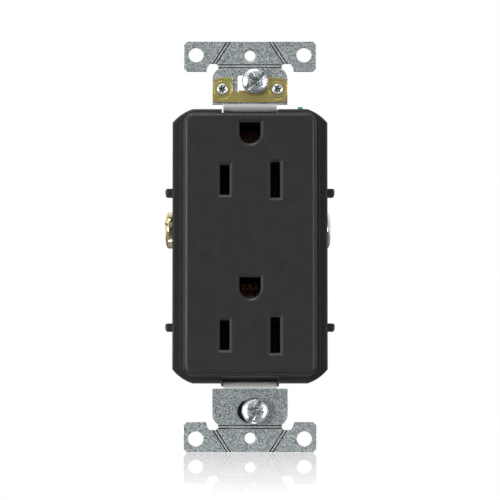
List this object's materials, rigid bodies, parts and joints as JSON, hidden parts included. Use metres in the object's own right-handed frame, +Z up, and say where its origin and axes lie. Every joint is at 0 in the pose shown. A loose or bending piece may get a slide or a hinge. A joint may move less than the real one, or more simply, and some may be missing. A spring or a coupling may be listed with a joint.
{
  "type": "duplex wall outlet",
  "caption": "Black rectangular-face duplex grounding receptacle on a galvanised wrap-around strap, with self-grounding clip, side terminal screws and break-off ears.",
  "frame": {"origin": "midway between the two box screws' heights on the strap's centre line, on the wall face of the ears (also the centre of the cover plate screw pattern)", "axes": "+X to the right seen from the front, +Y into the wall, +Z up with the ground holes above the blade slots"},
  "size_m": [0.0431, 0.0338, 0.104],
  "materials": {
    "black_face_plastic": "fine satin moulded thermoplastic, rounded edges slightly glossier",
    "black_body_plastic": "moulded nylon with a fine spark texture",
    "galvanised_steel": "galvanised sheet with fine mottled grain and bright sheared edges",
    "clip_brass": "rolled spring brass, slightly tarnished, with coppery patches",
    "rivet_steel": "bright plated steel, upset heads",
    "contact_brass": "stamped cartridge brass with coppery tone and sheared edges",
    "contact_brass_plated": "nickel-plated stamped brass",
    "clamp_steel": "zinc-plated stamped steel",
    "screw_brass": "brass-plated screw with turned sheen",
    "screw_nickel": "nickel-plated screw with turned sheen",
    "screw_green": "green dyed plating, worn at the recess",
    "screw_zinc": "bright zinc-plated screw",
    "washer_fibre": "grey fibre washer",
    "washer_nylon": "black nylon retainer"
  },
  "bodies": {
    "outlet_body": {"face_cover": "black_face_plastic", "back_body": "black_body_plastic", "mounting_strap": "galvanised_steel", "ground_clip": "clip_brass", "ground_clip_rivets": "rivet_steel", "hot_contact_strip": "contact_brass", "neutral_contact_strip": "contact_brass_plated", "upper_ground_contact": "contact_brass", "lower_ground_contact": "contact_brass", "ground_contact_rivets": "rivet_steel", "assembly_screws": "rivet_steel"},
    "upper_hot_clamp": {"upper_hot_clamp": "clamp_steel"},
    "upper_hot_screw": {"upper_hot_screw": "screw_brass"},
    "lower_hot_clamp": {"lower_hot_clamp": "clamp_steel"},
    "lower_hot_screw": {"lower_hot_screw": "screw_brass"},
    "upper_neutral_clamp": {"upper_neutral_clamp": "clamp_steel"},
    "upper_neutral_screw": {"upper_neutral_screw": "screw_nickel"},
    "lower_neutral_clamp": {"lower_neutral_clamp": "clamp_steel"},
    "lower_neutral_screw": {"lower_neutral_screw": "screw_nickel"},
    "ground_clamp": {"ground_clamp": "clamp_steel"},
    "ground_screw": {"ground_screw": "screw_green"},
    "upper_screw_washer": {"upper_screw_washer": "washer_fibre"},
    "upper_box_screw": {"upper_box_screw": "screw_zinc"},
    "lower_screw_washer": {"lower_screw_washer": "washer_nylon"},
    "lower_box_screw": {"lower_box_screw": "screw_zinc"}
  },
  "joints": [
    {"name": "upper_hot_clamp_slide", "type": "slide", "parent": "outlet_body", "child": "upper_hot_clamp", "axis": [-1, 0, 0], "range_m": [-0.00265, 0]},
    {"name": "upper_hot_screw_turn", "type": "hinge", "parent": "upper_hot_clamp", "child": "upper_hot_screw", "pos_m": [-0.0156, 0.011, 0.0051], "axis": [-1, 0, 0], "range_deg": [-1202, 0]},
    {"name": "lower_hot_clamp_slide", "type": "slide", "parent": "outlet_body", "child": "lower_hot_clamp", "axis": [-1, 0, 0], "range_m": [0, 0.00265]},
    {"name": "lower_hot_screw_turn", "type": "hinge", "parent": "lower_hot_clamp", "child": "lower_hot_screw", "pos_m": [-0.0156, 0.011, -0.0119], "axis": [-1, 0, 0], "range_deg": [0, 1202]},
    {"name": "upper_neutral_clamp_slide", "type": "slide", "parent": "outlet_body", "child": "upper_neutral_clamp", "axis": [1, 0, 0], "range_m": [-0.0016, 0.00105]},
    {"name": "upper_neutral_screw_turn", "type": "hinge", "parent": "upper_neutral_clamp", "child": "upper_neutral_screw", "pos_m": [0.0156, 0.011, 0.0051], "axis": [1, 0, 0], "range_deg": [-726, 477]},
    {"name": "lower_neutral_clamp_slide", "type": "slide", "parent": "outlet_body", "child": "lower_neutral_clamp", "axis": [1, 0, 0], "range_m": [0, 0.00265]},
    {"name": "lower_neutral_screw_turn", "type": "hinge", "parent": "lower_neutral_clamp", "child": "lower_neutral_screw", "pos_m": [0.0156, 0.011, -0.0119], "axis": [1, 0, 0], "range_deg": [0, 1202]},
    {"name": "ground_clamp_slide", "type": "slide", "parent": "outlet_body", "child": "ground_clamp", "axis": [1, 0, 0], "range_m": [-0.00115, 0.0011]},
    {"name": "ground_screw_turn", "type": "hinge", "parent": "ground_clamp", "child": "ground_screw", "pos_m": [0.0098, 0.0095, 0.0317], "axis": [1, 0, 0], "range_deg": [-522, 499]},
    {"name": "upper_washer_slide", "type": "slide", "parent": "outlet_body", "child": "upper_screw_washer", "axis": [1, 0, 0], "range_m": [-0.0026, 0]},
    {"name": "upper_box_screw_slide", "type": "slide", "parent": "upper_screw_washer", "child": "upper_box_screw", "axis": [0, -1, 0], "range_m": [0, 0.016]},
    {"name": "lower_washer_slide", "type": "slide", "parent": "outlet_body", "child": "lower_screw_washer", "axis": [1, 0, 0], "range_m": [-0.0026, 0]},
    {"name": "lower_box_screw_slide", "type": "slide", "parent": "lower_screw_washer", "child": "lower_box_screw", "axis": [0, -1, 0], "range_m": [0, 0.016]}
  ],
  "couplings": [
    {"joint": "upper_hot_screw_turn", "follows": "upper_hot_clamp_slide", "rad_per_m": 7915.8},
    {"joint": "lower_hot_screw_turn", "follows": "lower_hot_clamp_slide", "rad_per_m": 7915.8},
    {"joint": "upper_neutral_screw_turn", "follows": "upper_neutral_clamp_slide", "rad_per_m": 7915.8},
    {"joint": "lower_neutral_screw_turn", "follows": "lower_neutral_clamp_slide", "rad_per_m": 7915.8},
    {"joint": "ground_screw_turn", "follows": "ground_clamp_slide", "rad_per_m": 7915.8}
  ]
}
